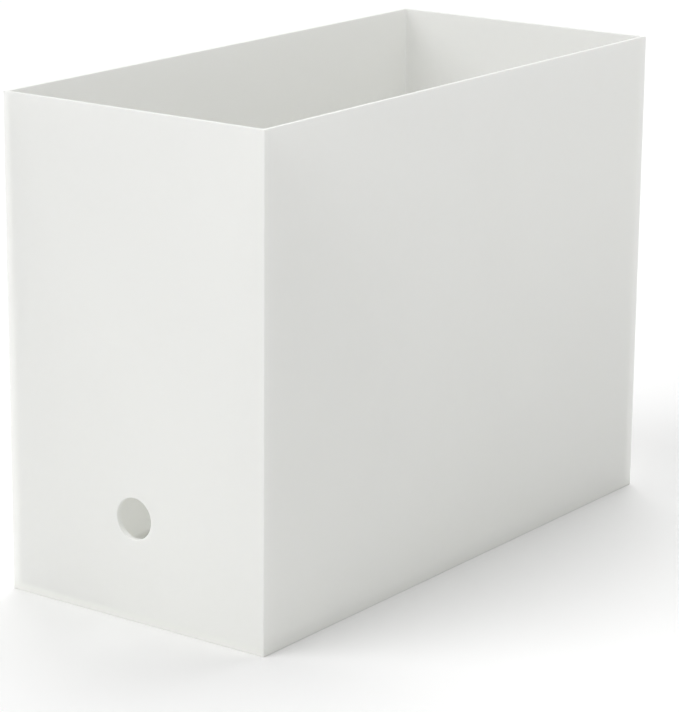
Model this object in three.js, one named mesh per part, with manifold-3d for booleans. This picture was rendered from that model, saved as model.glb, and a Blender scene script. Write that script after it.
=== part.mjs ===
// Open-topped file box, injection moulded in one piece from white-grey polypropylene.
// Millimetres, +Z up. The box stands on Z = 0 with the origin under its middle, its long
// sides run along Y, and the narrow front wall with the finger hole faces -Y.

import * as THREE from 'three';
import { mergeVertices } from 'three/addons/utils/BufferGeometryUtils.js';
import Module from 'manifold-3d';

// Outside of the box
const width = 150;
const depth = 320;
const height = 240;
const verticalEdgeRadius = 0.4;
const bottomEdgeRadius = 0.4;

// Walls and rim: the cavity is drafted, so each wall grows thicker from the rim down
const rimThickness = 2;
const rimEdgeRadius = 0.35;
const cavityDraftDegrees = 0.25;
const cavityCornerRadius = 1;

// Floor, and the fillet that joins it to the walls
const floorThickness = 2.2;
const floorFilletRadius = 1.5;

// Underside: a foot runs round the edge and lifts the floor off the surface
const footHeight = 1;
const footWidth = 6;
const footInnerRadius = 0.4;

// Shallow dish under the floor, where the moulding was gated
const gateDishDiameter = 10;
const gateDishDepth = 0.5;

// Finger hole in the front wall, with both lips rounded
const fingerHoleDiameter = 20;
const fingerHoleHeight = 50;
const fingerHoleLipRadius = 0.4;

// Fineness of the curves
const cornerSteps = 5;
const filletSteps = 4;
const holeSegments = 72;
const dishSteps = 6;

// How far a cutter reaches past the face that it cuts
const cutterOverrun = 5;

const polypropylene = new THREE.MeshStandardMaterial({
  color: new THREE.Color().setRGB(0.941, 0.944, 0.927, THREE.SRGBColorSpace),
  roughness: 0.55,
  metalness: 0,
});

const floorTop = footHeight + floorThickness;
const cavityDraft = Math.tan(THREE.MathUtils.degToRad(cavityDraftDegrees));

// Thickness of a wall at a height above the surface that the box stands on
function wallThicknessAt(z) {
  return rimThickness + (height - z) * cavityDraft;
}

// A section across the box at one height: a rectangle with rounded corners, inset from
// the outer walls. Every ring has the same number of points, so that rings can be joined.
function ringPoints({ inset, z, corner }) {
  const halfWidth = width / 2 - inset;
  const halfDepth = depth / 2 - inset;
  const sides = [[1, 1], [-1, 1], [-1, -1], [1, -1]];
  return sides.flatMap(([sideX, sideY], quarter) =>
    Array.from({ length: cornerSteps + 1 }, (_, step) => {
      const angle = (quarter + step / cornerSteps) * (Math.PI / 2);
      return new THREE.Vector3(
        sideX * (halfWidth - corner) + corner * Math.cos(angle),
        sideY * (halfDepth - corner) + corner * Math.sin(angle),
        z,
      );
    }),
  );
}

// A quarter round in the wall's section, from one end of the fillet to the other.
// Angles are in degrees, measured from the inward direction towards +Z.
function filletRings({ inset, z, radius, from, to, corner }) {
  return Array.from({ length: filletSteps + 1 }, (_, step) => {
    const share = step / filletSteps;
    const angle = THREE.MathUtils.degToRad(THREE.MathUtils.lerp(from, to, share));
    return {
      inset: inset + radius * Math.cos(angle),
      z: z + radius * Math.sin(angle),
      corner: typeof corner === 'number' ? corner : THREE.MathUtils.lerp(corner[0], corner[1], share),
    };
  });
}

// The section of the whole box: under the floor, round the foot, up the outside, over
// the rim, down the cavity and across the floor.
function wallProfile() {
  const footCorner = verticalEdgeRadius / 2;
  const recessEdge = footWidth + footInnerRadius;
  const cavityFootInset = wallThicknessAt(floorTop + floorFilletRadius);
  return [
    ...filletRings({
      inset: recessEdge, z: footHeight - footInnerRadius, radius: footInnerRadius,
      from: 90, to: 180, corner: cavityCornerRadius,
    }),
    ...filletRings({
      inset: footWidth - footInnerRadius, z: footInnerRadius, radius: footInnerRadius,
      from: 0, to: -90, corner: cavityCornerRadius,
    }),
    ...filletRings({
      inset: bottomEdgeRadius, z: bottomEdgeRadius, radius: bottomEdgeRadius,
      from: -90, to: -180, corner: [footCorner, verticalEdgeRadius],
    }),
    ...filletRings({
      inset: rimEdgeRadius, z: height - rimEdgeRadius, radius: rimEdgeRadius,
      from: 180, to: 90, corner: [verticalEdgeRadius, footCorner],
    }),
    ...filletRings({
      inset: rimThickness - rimEdgeRadius, z: height - rimEdgeRadius, radius: rimEdgeRadius,
      from: 90, to: 0, corner: cavityCornerRadius,
    }),
    ...filletRings({
      inset: cavityFootInset + floorFilletRadius, z: floorTop + floorFilletRadius,
      radius: floorFilletRadius, from: 180, to: 270, corner: cavityCornerRadius,
    }),
  ];
}

// Joins the rings into one closed skin, with a flat cap over the first and the last
function loftGeometry(profile) {
  const rings = profile.map(ringPoints);
  const count = rings[0].length;
  const first = profile[0];
  const last = profile[profile.length - 1];
  const vertices = [
    ...rings.flat(),
    new THREE.Vector3(0, 0, first.z),
    new THREE.Vector3(0, 0, last.z),
  ];
  const underCentre = vertices.length - 2;
  const floorCentre = vertices.length - 1;
  const lastRing = (rings.length - 1) * count;
  const triangles = [];
  for (let point = 0; point < count; point += 1) {
    const next = (point + 1) % count;
    triangles.push(underCentre, next, point);
    triangles.push(floorCentre, lastRing + point, lastRing + next);
    for (let ring = 0; ring < rings.length - 1; ring += 1) {
      const low = ring * count;
      const high = low + count;
      triangles.push(low + point, low + next, high + next);
      triangles.push(low + point, high + next, high + point);
    }
  }
  const geometry = new THREE.BufferGeometry().setFromPoints(vertices);
  geometry.setIndex(triangles);
  return geometry;
}

// Cutter for the finger hole. Its axis is Y: it starts at the outer face of the front
// wall and flares at both faces, which leaves the wall with rounded lips.
function fingerHoleCutter() {
  const radius = fingerHoleDiameter / 2;
  const lip = fingerHoleLipRadius;
  const thickness = wallThicknessAt(fingerHoleHeight);
  const flare = radius + lip;
  const quarter = Array.from({ length: filletSteps + 1 }, (_, step) => (step / filletSteps) * (Math.PI / 2));
  const outerLip = quarter.map((angle) => (
    new THREE.Vector2(flare - lip * Math.sin(angle), lip - lip * Math.cos(angle))
  ));
  const innerLip = outerLip.map((point) => new THREE.Vector2(point.x, thickness - point.y)).reverse();
  const outline = [
    new THREE.Vector2(0, -cutterOverrun),
    new THREE.Vector2(flare, -cutterOverrun),
    ...outerLip,
    ...innerLip,
    new THREE.Vector2(flare, thickness + cutterOverrun),
    new THREE.Vector2(0, thickness + cutterOverrun),
  ];
  return new THREE.LatheGeometry(outline, holeSegments).translate(0, -depth / 2, fingerHoleHeight);
}

// Cutter for the gate dish: the top of a sphere, cut off below the underside of the floor
function gateDishCutter() {
  const dishRadius = gateDishDiameter / 2;
  const sphereRadius = (dishRadius ** 2 + gateDishDepth ** 2) / (2 * gateDishDepth);
  const halfAngle = Math.asin(dishRadius / sphereRadius);
  const dome = Array.from({ length: dishSteps + 1 }, (_, step) => {
    const angle = halfAngle * (1 - step / dishSteps);
    return new THREE.Vector2(
      sphereRadius * Math.sin(angle),
      gateDishDepth - sphereRadius * (1 - Math.cos(angle)),
    );
  });
  const outline = [
    new THREE.Vector2(0, -cutterOverrun),
    new THREE.Vector2(dishRadius, -cutterOverrun),
    ...dome,
  ];
  return new THREE.LatheGeometry(outline, holeSegments).rotateX(Math.PI / 2).translate(0, 0, footHeight);
}

const wasm = await Module();
wasm.setup();

function toSolid(geometry) {
  const bare = geometry.clone();
  bare.deleteAttribute('normal');
  bare.deleteAttribute('uv');
  const merged = mergeVertices(bare);
  return new wasm.Manifold(new wasm.Mesh({
    numProp: 3,
    vertProperties: new Float32Array(merged.attributes.position.array),
    triVerts: new Uint32Array(merged.index.array),
  }));
}

function toGeometry(solid) {
  const { vertProperties, triVerts } = solid.getMesh();
  const geometry = new THREE.BufferGeometry();
  geometry.setAttribute('position', new THREE.BufferAttribute(vertProperties, 3));
  geometry.setIndex(new THREE.BufferAttribute(triVerts, 1));
  geometry.computeVertexNormals();
  return geometry;
}

// The whole box is one moulding, so it is one solid
function buildFileBox() {
  const shell = toSolid(loftGeometry(wallProfile()));
  const cut = shell.subtract(toSolid(fingerHoleCutter())).subtract(toSolid(gateDishCutter()));
  const mesh = new THREE.Mesh(toGeometry(cut), polypropylene);
  mesh.name = 'file_box';
  return mesh;
}

const model = new THREE.Group();
model.name = 'plastic_file_box';
model.add(buildFileBox());

export default model;
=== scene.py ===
"""A plain white-grey plastic file box, open at the top, on a pale floor in soft studio light.

Metres, +Z up. The box stands on Z = 0 with its finger hole in the narrow wall that faces -Y.
"""
import math

import bmesh
import bpy
from mathutils import Matrix, Vector


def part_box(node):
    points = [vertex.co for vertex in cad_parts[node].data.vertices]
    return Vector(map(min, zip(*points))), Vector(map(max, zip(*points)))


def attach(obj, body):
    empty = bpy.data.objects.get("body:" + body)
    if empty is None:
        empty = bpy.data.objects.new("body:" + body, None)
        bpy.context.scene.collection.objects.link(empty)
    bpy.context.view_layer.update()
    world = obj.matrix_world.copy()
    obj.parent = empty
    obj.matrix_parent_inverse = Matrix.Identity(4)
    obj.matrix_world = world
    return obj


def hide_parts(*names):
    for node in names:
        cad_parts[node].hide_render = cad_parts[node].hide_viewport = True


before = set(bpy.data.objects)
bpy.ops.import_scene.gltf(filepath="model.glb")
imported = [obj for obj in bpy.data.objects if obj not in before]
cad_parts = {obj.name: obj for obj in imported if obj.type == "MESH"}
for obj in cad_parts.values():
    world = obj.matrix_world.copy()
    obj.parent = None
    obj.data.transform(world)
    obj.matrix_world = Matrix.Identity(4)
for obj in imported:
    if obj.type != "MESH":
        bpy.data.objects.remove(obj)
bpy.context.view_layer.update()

MM = 0.001
NODE = "file_box"

low_corner, high_corner = (Vector(corner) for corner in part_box(NODE))

# Outside of the box, from the frame
HALF_WIDTH = (high_corner.x - low_corner.x) / 2
HALF_DEPTH = (high_corner.y - low_corner.y) / 2
HEIGHT = high_corner.z - low_corner.z
VERTICAL_EDGE_RADIUS = 0.4 * MM
BOTTOM_EDGE_RADIUS = 0.4 * MM

# Section of the wall: the cavity is drafted, so a wall grows thicker from the rim down
RIM_THICKNESS = 2 * MM
RIM_EDGE_RADIUS = 0.35 * MM
CAVITY_DRAFT_DEGREES = 0.25
CAVITY_CORNER_RADIUS = 1 * MM
FLOOR_THICKNESS = 2.2 * MM
FLOOR_FILLET_RADIUS = 1.5 * MM

# Underside: a foot round the edge, and a shallow dish where the moulding was gated
FOOT_HEIGHT = 1 * MM
FOOT_WIDTH = 6 * MM
FOOT_INNER_RADIUS = 0.4 * MM
GATE_DISH_RADIUS = 5 * MM
GATE_DISH_DEPTH = 0.5 * MM

# Finger hole in the front wall
HOLE_RADIUS = 10 * MM
HOLE_HEIGHT = 50 * MM
HOLE_LIP_RADIUS = 0.4 * MM

# Fineness of the mesh: steps in a quarter round, and the widest span along a wall
FILLET_STEPS = 8
CORNER_STEPS = 8
WALL_SPAN = 12 * MM

# Square patch of the front wall round the finger hole: half its side, the spans across it,
# the rings between the square and the round hole, and how exactly a mesh line has to lie on it
HOLE_PATCH = 15 * MM
PATCH_SPANS = 20
PATCH_RINGS = 3
PATCH_TOLERANCE = 0.125 * MM

# Rings that close the gate dish and the top of the floor
DISH_RINGS = 6
FLOOR_RINGS = 6

# Distance from a curve to the loop that keeps the flat beside it flat
FLAT_MARGIN = 0.25 * MM
RIM_MARGIN = 0.1 * MM

CAVITY_DRAFT = math.tan(math.radians(CAVITY_DRAFT_DEGREES))
FLOOR_TOP = FOOT_HEIGHT + FLOOR_THICKNESS

# No mesh line across a side may lie outside the section's innermost row
DEEPEST_INSET = FOOT_WIDTH + FOOT_INNER_RADIUS + 2 * FLAT_MARGIN


def wall_thickness(z):
    """Thickness of a wall at a height above the surface that the box stands on."""
    return RIM_THICKNESS + (HEIGHT - z) * CAVITY_DRAFT


def spaced(start, end, span):
    """Values from start to end, both included, no further apart than span."""
    count = max(1, math.ceil(abs(end - start) / span))
    return [start + (end - start) * step / count for step in range(count + 1)]


def across_patch(middle):
    """Places of the mesh lines across the square patch round the finger hole."""
    return spaced(middle - HOLE_PATCH, middle + HOLE_PATCH, 2 * HOLE_PATCH / PATCH_SPANS)


def fillet(inset, z, radius, start, end, corner_start, corner_end):
    """Quarter round of the section, as (inset, z, corner radius), with angles in degrees."""
    rows = []
    for step in range(FILLET_STEPS + 1):
        share = step / FILLET_STEPS
        angle = math.radians(start + (end - start) * share)
        corner = corner_start + (corner_end - corner_start) * share
        rows.append((inset + radius * math.cos(angle), z + radius * math.sin(angle), corner))
    return rows


def wall_heights(bottom, top):
    """Heights of the mesh lines on a wall between its two fillets."""
    patch = across_patch(HOLE_HEIGHT)
    below = spaced(bottom + FLAT_MARGIN, patch[0], WALL_SPAN)
    above = spaced(patch[-1], top - FLAT_MARGIN, WALL_SPAN)
    return below[:-1] + patch + above[1:]


def section():
    """The section of the box, from under the floor to the top of the floor, in order."""
    edge = VERTICAL_EDGE_RADIUS
    foot_edge = VERTICAL_EDGE_RADIUS / 2
    cavity = CAVITY_CORNER_RADIUS
    recess = FOOT_WIDTH + FOOT_INNER_RADIUS
    foot = FOOT_WIDTH - FOOT_INNER_RADIUS
    inner_rim = RIM_THICKNESS - RIM_EDGE_RADIUS
    rim_base = HEIGHT - RIM_EDGE_RADIUS
    fillet_top = FLOOR_TOP + FLOOR_FILLET_RADIUS
    fillet_centre = wall_thickness(fillet_top) + FLOOR_FILLET_RADIUS
    rows = [(recess + FLAT_MARGIN, FOOT_HEIGHT, cavity)]
    rows += fillet(recess, FOOT_HEIGHT - FOOT_INNER_RADIUS, FOOT_INNER_RADIUS, 90, 180, cavity, cavity)
    rows += fillet(foot, FOOT_INNER_RADIUS, FOOT_INNER_RADIUS, 0, -90, cavity, cavity)
    rows += [(foot - FLAT_MARGIN, 0, cavity), (BOTTOM_EDGE_RADIUS + FLAT_MARGIN, 0, foot_edge)]
    rows += fillet(BOTTOM_EDGE_RADIUS, BOTTOM_EDGE_RADIUS, BOTTOM_EDGE_RADIUS, -90, -180, foot_edge, edge)
    rows += [(0, z, edge) for z in wall_heights(BOTTOM_EDGE_RADIUS, rim_base)]
    rows += fillet(RIM_EDGE_RADIUS, rim_base, RIM_EDGE_RADIUS, 180, 90, edge, foot_edge)
    rows += [(RIM_EDGE_RADIUS + RIM_MARGIN, HEIGHT, foot_edge), (inner_rim - RIM_MARGIN, HEIGHT, cavity)]
    rows += fillet(inner_rim, rim_base, RIM_EDGE_RADIUS, 90, 0, cavity, cavity)
    rows += [(wall_thickness(z), z, cavity) for z in reversed(wall_heights(fillet_top, rim_base))]
    rows += fillet(fillet_centre, fillet_top, FLOOR_FILLET_RADIUS, 180, 270, cavity, cavity)
    rows += [(fillet_centre + FLAT_MARGIN, FLOOR_TOP, cavity)]
    return rows


def plain_side(half_length):
    """Places of the mesh lines across one side, from its middle."""
    reach = half_length - DEEPEST_INSET - CAVITY_CORNER_RADIUS - FLAT_MARGIN
    return spaced(-reach, reach, WALL_SPAN)


def side_with_hole(half_length):
    """Places of the mesh lines across the side with the finger hole, denser at its patch."""
    reach = half_length - DEEPEST_INSET - CAVITY_CORNER_RADIUS - FLAT_MARGIN
    before = spaced(-reach, -HOLE_PATCH, WALL_SPAN)
    after = spaced(HOLE_PATCH, reach, WALL_SPAN)
    return before[:-1] + across_patch(0) + after[1:]


def plan_points(inset, z, corner):
    """One ring round the box: the front wall from -X to +X first, then on counter-clockwise."""
    half_width = HALF_WIDTH - inset
    half_depth = HALF_DEPTH - inset
    across_width = half_width - corner - FLAT_MARGIN
    across_depth = half_depth - corner - FLAT_MARGIN
    sides = [
        (side_with_hole(HALF_WIDTH), across_width, lambda t: (t, -half_depth)),
        (plain_side(HALF_DEPTH), across_depth, lambda t: (half_width, t)),
        (plain_side(HALF_WIDTH), across_width, lambda t: (-t, half_depth)),
        (plain_side(HALF_DEPTH), across_depth, lambda t: (-half_width, -t)),
    ]
    corners = [(1, -1, -90), (1, 1, 0), (-1, 1, 90), (-1, -1, 180)]
    points = []
    for (positions, tangent, place), (sign_x, sign_y, start) in zip(sides, corners):
        points += [place(t) for t in (-tangent, *positions, tangent)]
        centre_x = sign_x * (half_width - corner)
        centre_y = sign_y * (half_depth - corner)
        for step in range(CORNER_STEPS + 1):
            angle = math.radians(start + 90 * step / CORNER_STEPS)
            points.append((centre_x + corner * math.cos(angle), centre_y + corner * math.sin(angle)))
    return [Vector((x, y, z)) for x, y in points]


def columns_in_patch(ring):
    """Places in a ring that lie in the square patch round the finger hole."""
    return [
        index for index, vertex in enumerate(ring)
        if vertex.co.y < 0 and abs(vertex.co.x) <= HOLE_PATCH + PATCH_TOLERANCE
    ]


def rows_in_patch(rows, face_inset):
    """Rows of the section that cross the patch on one face of the wall, given its inset by height."""
    return [
        index for index, (inset, z, _) in enumerate(rows)
        if abs(inset - face_inset(z)) < PATCH_TOLERANCE
        and abs(z - HOLE_HEIGHT) <= HOLE_PATCH + PATCH_TOLERANCE
    ]


def patch_ring(grid_rows, columns):
    """The vertices round a square patch of a wall's grid, in order round the patch."""
    bottom = [grid_rows[0][column] for column in columns]
    right = [row[columns[-1]] for row in grid_rows[1:]]
    top = [grid_rows[-1][column] for column in reversed(columns[:-1])]
    left = [row[columns[0]] for row in reversed(grid_rows[1:-1])]
    return bottom + right + top + left


def bridge(mesh, rings, flip=False):
    """Quads between closed rings of as many vertices, from each ring to the next."""
    for ring_a, ring_b in zip(rings, rings[1:]):
        for index, point in enumerate(ring_a):
            following = (index + 1) % len(ring_a)
            face = (point, ring_a[following], ring_b[following], ring_b[index])
            mesh.faces.new(reversed(face) if flip else face)


def hole_sections():
    """The hole's wall from the outer lip to the inner one, as (radius, share, offset).

    The share runs from the outer face of the wall to the inner one, and the offset is added to it.
    """
    flare = HOLE_RADIUS + HOLE_LIP_RADIUS
    lip = []
    for step in range(FILLET_STEPS + 1):
        angle = math.radians(90 * step / FILLET_STEPS)
        lip.append((flare - HOLE_LIP_RADIUS * math.sin(angle), HOLE_LIP_RADIUS * (1 - math.cos(angle))))
    return [
        (flare + FLAT_MARGIN, 0, 0),
        *((radius, 0, offset) for radius, offset in lip),
        (HOLE_RADIUS, 0, HOLE_LIP_RADIUS + FLAT_MARGIN),
        (HOLE_RADIUS, 1, -HOLE_LIP_RADIUS - FLAT_MARGIN),
        *((radius, 1, -offset) for radius, offset in reversed(lip)),
        (flare + FLAT_MARGIN, 1, 0),
    ]


def blend_rings(mesh, ring_a, ring_b, share):
    """Rings between a square and a circle on one face of the front wall."""
    rings = []
    for step in range(1, PATCH_RINGS + 1):
        ring = []
        for a, b in zip(ring_a, ring_b):
            point = a.co.lerp(b.co, step / (PATCH_RINGS + 1))
            point.y = -HALF_DEPTH + share * wall_thickness(point.z)
            ring.append(mesh.verts.new(point))
        rings.append(ring)
    return rings


def add_hole(mesh, outer_ring, inner_ring):
    """Joins the square openings in the two faces of the front wall by a round, lipped hole."""
    angles = [math.atan2(vertex.co.z - HOLE_HEIGHT, vertex.co.x) for vertex in outer_ring]
    rings = []
    for radius, share, offset in hole_sections():
        ring = []
        for angle in angles:
            x = radius * math.cos(angle)
            z = HOLE_HEIGHT + radius * math.sin(angle)
            y = -HALF_DEPTH + share * wall_thickness(z) + offset
            ring.append(mesh.verts.new((x, y, z)))
        rings.append(ring)
    before = [outer_ring, *blend_rings(mesh, outer_ring, rings[0], 0)]
    after = [*blend_rings(mesh, rings[-1], inner_ring, 1), inner_ring]
    bridge(mesh, before + rings + after)


def add_dish(mesh, ring):
    """Closes the underside of the floor round the shallow gate dish, part of a sphere."""
    sphere = (GATE_DISH_RADIUS ** 2 + GATE_DISH_DEPTH ** 2) / (2 * GATE_DISH_DEPTH)
    half_angle = math.asin(GATE_DISH_RADIUS / sphere)
    circles = [(GATE_DISH_RADIUS + FLAT_MARGIN, FOOT_HEIGHT)]
    for step in range(DISH_RINGS):
        angle = half_angle * (1 - step / DISH_RINGS)
        rise = GATE_DISH_DEPTH - sphere * (1 - math.cos(angle))
        circles.append((sphere * math.sin(angle), FOOT_HEIGHT + rise))
    angles = [math.atan2(vertex.co.y, vertex.co.x) for vertex in ring]
    rings = [ring]
    for radius, z in circles:
        rings.append([mesh.verts.new((radius * math.cos(a), radius * math.sin(a), z)) for a in angles])
    bridge(mesh, rings, flip=True)
    mesh.faces.new(rings[-1])


def close_floor(mesh, ring):
    """Closes the top of the floor by rings that shrink towards its middle."""
    rings = [ring]
    for step in range(1, FLOOR_RINGS):
        share = 1 - step / FLOOR_RINGS
        rings.append([mesh.verts.new((share * v.co.x, share * v.co.y, FLOOR_TOP)) for v in ring])
    bridge(mesh, rings)
    middle = mesh.verts.new((0, 0, FLOOR_TOP))
    last = rings[-1]
    for point, following in zip(last, last[1:] + last[:1]):
        mesh.faces.new((point, following, middle))


def link_mesh(name, mesh):
    """Turns a finished bmesh into an object in the scene."""
    data = bpy.data.meshes.new(name)
    mesh.to_mesh(data)
    mesh.free()
    thing = bpy.data.objects.new(name, data)
    bpy.context.scene.collection.objects.link(thing)
    return thing


def build_box():
    """The whole box as one closed skin, nearly all quads, with its hole and every edge rounded."""
    mesh = bmesh.new()
    rows = section()
    grid = [[mesh.verts.new(point) for point in plan_points(*row)] for row in rows]
    count = len(grid[0])
    patch_columns = columns_in_patch(grid[0])
    outer_rows = rows_in_patch(rows, lambda z: 0)
    inner_rows = rows_in_patch(rows, wall_thickness)
    for level in range(len(rows) - 1):
        in_patch = level in outer_rows[:-1] or level in inner_rows[:-1]
        for point in range(count):
            if in_patch and point in patch_columns[:-1]:
                continue
            following = (point + 1) % count
            mesh.faces.new((
                grid[level][point], grid[level][following],
                grid[level + 1][following], grid[level + 1][point],
            ))
    outer_ring = patch_ring([grid[row] for row in outer_rows], patch_columns)
    inner_ring = patch_ring([grid[row] for row in reversed(inner_rows)], patch_columns)
    add_hole(mesh, outer_ring, inner_ring)
    add_dish(mesh, grid[0])
    close_floor(mesh, grid[-1])
    bmesh.ops.recalc_face_normals(mesh, faces=mesh.faces)
    for face in mesh.faces:
        face.smooth = True
    return link_mesh("box_shell", mesh)


class Nodes:
    """Short calls for building the node tree of a material or a world."""

    def __init__(self, owner):
        owner.use_nodes = True
        self.tree = owner.node_tree
        self.tree.nodes.clear()

    def add(self, kind, values=None, **properties):
        """A new node, with values for its sockets and properties of its own."""
        node = self.tree.nodes.new(kind)
        for key, value in properties.items():
            setattr(node, key, value)
        for key, value in (values or {}).items():
            node.inputs[key].default_value = value
        return node

    def link(self, source, target):
        self.tree.links.new(source, target)


# Colour of the plastic, linear, and the shade that it drifts to over the walls
PLASTIC_COLOUR = (0.875, 0.881, 0.845, 1)
PLASTIC_SHADE = (0.860, 0.866, 0.828, 1)

# Noise patterns, with their scale per metre: the spark-eroded grain, a coarser mottle of the
# gloss, and the broad marks left by the flow of the melt
GRAIN = {"Scale": 2600, "Detail": 3, "Roughness": 0.6}
MOTTLE = {"Scale": 220, "Detail": 2, "Roughness": 0.5}
FLOW = {"Scale": 9, "Detail": 2, "Distortion": 0.6}

# What the patterns do: the mottle's share in the colour's drift, the part of the noise that
# spans each range, and the relief
MOTTLE_SHARE = 0.25
SHADE_RANGE = {"From Min": 0.3, "From Max": 0.55}
ROUGHNESS_RANGE = {"From Min": 0.3, "From Max": 0.7, "To Min": 0.56, "To Max": 0.68}
GRAIN_RELIEF = {"Strength": 0.35, "Distance": 0.02 * MM}
FLOW_RELIEF = {"Strength": 0.25, "Distance": 0.15 * MM}

# The walls let some light through. The floor lets through hardly any: that light would be lost
# in the gap of the foot's height under it, and the floor would look too dark.
SUBSURFACE_BY_HEIGHT = {
    "From Min": FLOOR_TOP, "From Max": FLOOR_TOP + 1 * MM, "To Min": 0.03, "To Max": 0.48,
}
PLASTIC = {"IOR": 1.49, "Subsurface Scale": 30 * MM, "Subsurface Radius": (1.0, 1.0, 0.9)}


def plastic_material():
    """Matt moulded polypropylene: a fine spark-eroded grain, faint flow marks, some translucency."""
    material = bpy.data.materials.new("polypropylene")
    nodes = Nodes(material)
    place = nodes.add("ShaderNodeTexCoord")
    grain = nodes.add("ShaderNodeTexNoise", GRAIN)
    mottle = nodes.add("ShaderNodeTexNoise", MOTTLE)
    flow = nodes.add("ShaderNodeTexNoise", FLOW)
    for texture in (grain, mottle, flow):
        nodes.link(place.outputs["Object"], texture.inputs["Vector"])

    drift = nodes.add("ShaderNodeMix", {"Factor": MOTTLE_SHARE}, data_type="FLOAT")
    nodes.link(flow.outputs["Fac"], drift.inputs["A"])
    nodes.link(mottle.outputs["Fac"], drift.inputs["B"])
    shade = nodes.add("ShaderNodeMapRange", SHADE_RANGE)
    nodes.link(drift.outputs["Result"], shade.inputs["Value"])
    colour = nodes.add("ShaderNodeMix", {"A": PLASTIC_SHADE, "B": PLASTIC_COLOUR}, data_type="RGBA")
    nodes.link(shade.outputs["Result"], colour.inputs["Factor"])

    rough = nodes.add("ShaderNodeMapRange", ROUGHNESS_RANGE)
    nodes.link(mottle.outputs["Fac"], rough.inputs["Value"])

    grain_bump = nodes.add("ShaderNodeBump", GRAIN_RELIEF)
    nodes.link(grain.outputs["Fac"], grain_bump.inputs["Height"])
    flow_bump = nodes.add("ShaderNodeBump", FLOW_RELIEF)
    nodes.link(flow.outputs["Fac"], flow_bump.inputs["Height"])
    nodes.link(grain_bump.outputs["Normal"], flow_bump.inputs["Normal"])

    height = nodes.add("ShaderNodeSeparateXYZ")
    nodes.link(place.outputs["Object"], height.inputs["Vector"])
    subsurface = nodes.add("ShaderNodeMapRange", SUBSURFACE_BY_HEIGHT)
    nodes.link(height.outputs["Z"], subsurface.inputs["Value"])

    shader = nodes.add("ShaderNodeBsdfPrincipled", PLASTIC)
    nodes.link(subsurface.outputs["Result"], shader.inputs["Subsurface Weight"])
    nodes.link(colour.outputs["Result"], shader.inputs["Base Color"])
    nodes.link(rough.outputs["Result"], shader.inputs["Roughness"])
    nodes.link(flow_bump.outputs["Normal"], shader.inputs["Normal"])
    output = nodes.add("ShaderNodeOutputMaterial")
    nodes.link(shader.outputs["BSDF"], output.inputs["Surface"])
    return material


# The pale floor round the box: half its side, the cells along a side, and its finish
STAGE_HALF_SIZE = 6.0
STAGE_CELLS = 8
STAGE = {"Color": (0.985, 0.985, 0.985, 1), "Roughness": 0}


def build_stage():
    """A wide pale floor that the box stands on; it only shows the box's soft shadow."""
    mesh = bmesh.new()
    bmesh.ops.create_grid(mesh, x_segments=STAGE_CELLS, y_segments=STAGE_CELLS, size=STAGE_HALF_SIZE)
    stage = link_mesh("studio_floor", mesh)
    material = bpy.data.materials.new("studio_floor")
    nodes = Nodes(material)
    shader = nodes.add("ShaderNodeBsdfDiffuse", STAGE)
    output = nodes.add("ShaderNodeOutputMaterial")
    nodes.link(shader.outputs["BSDF"], output.inputs["Surface"])
    stage.data.materials.append(material)


# Large soft lamps, with angles in degrees; softness is how wide a lamp looks from the box.
# A lamp of level 1 lights a white surface that faces it to white, and so does a room of level 1.
LAMPS = {
    "key": {"azimuth": -30, "elevation": 39, "level": 0.46, "softness": 50},
    "overhead": {"azimuth": -160, "elevation": 66, "level": 0.41, "softness": 40},
    "rear_fill": {"azimuth": -135, "elevation": 15, "level": 0.14, "softness": 40},
    "side_fill": {"azimuth": 75, "elevation": 6, "level": 0.16, "softness": 40},
}
ROOM_LEVEL = 0.33
BACKGROUND_LEVEL = 1
WHITE = (1, 1, 1, 1)


def direction(azimuth, elevation):
    """Unit vector towards a place, in degrees: azimuth 0 is towards -Y, 90 is towards +X."""
    turn = math.radians(azimuth)
    rise = math.radians(elevation)
    level = math.cos(rise)
    return Vector((math.sin(turn) * level, -math.cos(turn) * level, math.sin(rise)))


def build_lamp(name, azimuth, elevation, level, softness):
    """A distant lamp; a wide angle makes it as soft as a large softbox."""
    lamp = bpy.data.lights.new(name, "SUN")
    lamp.energy = level * math.pi
    lamp.angle = math.radians(softness)
    holder = bpy.data.objects.new(name, lamp)
    holder.rotation_euler = direction(azimuth, elevation).to_track_quat("Z", "Y").to_euler()
    bpy.context.scene.collection.objects.link(holder)


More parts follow.
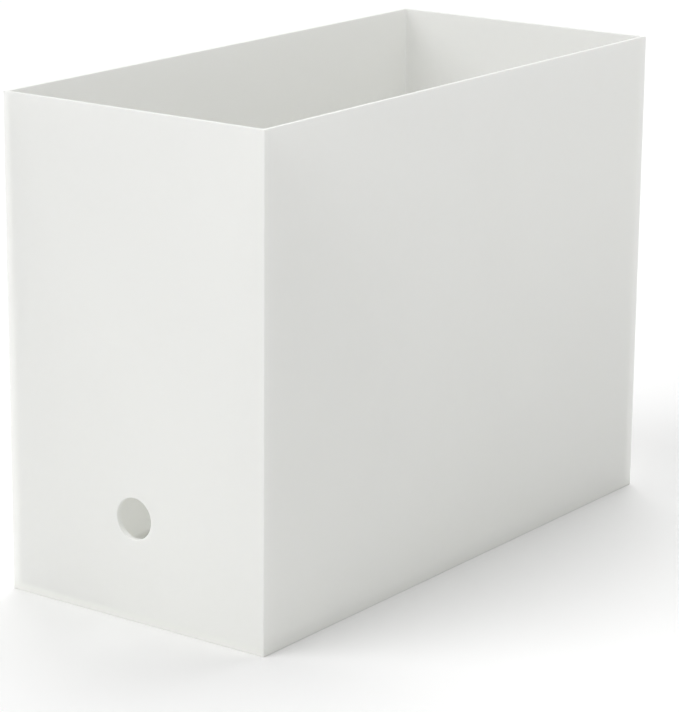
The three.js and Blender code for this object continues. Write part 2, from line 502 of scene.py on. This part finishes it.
def build_room():
    """Even light from all round. Where the camera or a reflection sees past the floor it is white."""
    world = bpy.data.worlds.new("room")
    bpy.context.scene.world = world
    nodes = Nodes(world)
    rays = nodes.add("ShaderNodeLightPath")
    camera_or_gloss = nodes.add("ShaderNodeMath", operation="MAXIMUM")
    nodes.link(rays.outputs["Is Camera Ray"], camera_or_gloss.inputs[0])
    nodes.link(rays.outputs["Is Glossy Ray"], camera_or_gloss.inputs[1])
    seen = nodes.add("ShaderNodeMath", operation="MAXIMUM")
    nodes.link(camera_or_gloss.outputs["Value"], seen.inputs[0])
    nodes.link(rays.outputs["Is Transmission Ray"], seen.inputs[1])
    level = nodes.add("ShaderNodeMapRange", {"To Min": ROOM_LEVEL, "To Max": BACKGROUND_LEVEL})
    nodes.link(seen.outputs["Value"], level.inputs["Value"])
    background = nodes.add("ShaderNodeBackground", {"Color": WHITE})
    nodes.link(level.outputs["Result"], background.inputs["Strength"])
    output = nodes.add("ShaderNodeOutputWorld")
    nodes.link(background.outputs["Background"], output.inputs["Surface"])


# The photograph's viewpoint, towards the finger hole's wall and the right-hand side, in degrees
VIEW_AZIMUTH = 36.0
VIEW_ELEVATION = 15.36
VIEW_ROLL = 0.5
VIEW_DISTANCE = 1469 * MM
VIEW_AIM = Vector((-0.66 * MM, 0, 92.6 * MM))

# The camera's own values: lens and sensor in millimetres, and its nearest and furthest reach
CAMERA = {
    "lens": 149.7,
    "sensor_width": 36,
    "sensor_fit": "AUTO",
    "clip_start": 10 * MM,
    "clip_end": 100,
}


def build_camera():
    """The camera at the photograph's viewing angle."""
    data = bpy.data.cameras.new("camera")
    for key, value in CAMERA.items():
        setattr(data, key, value)
    back = direction(VIEW_AZIMUTH, VIEW_ELEVATION)
    turn = back.to_track_quat("Z", "Y").to_matrix() @ Matrix.Rotation(math.radians(VIEW_ROLL), 3, "Z")
    camera = bpy.data.objects.new("camera", data)
    camera.matrix_world = Matrix.Translation(VIEW_AIM + back * VIEW_DISTANCE) @ turn.to_4x4()
    bpy.context.scene.collection.objects.link(camera)
    bpy.context.scene.camera = camera


build_camera()
build_stage()
for lamp_name, lamp_values in LAMPS.items():
    build_lamp(lamp_name, **lamp_values)
build_room()
box_shell = build_box()
box_shell.data.materials.append(plastic_material())
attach(box_shell, "root")
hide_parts(NODE)

bpy.context.scene.view_settings.view_transform = "Standard"
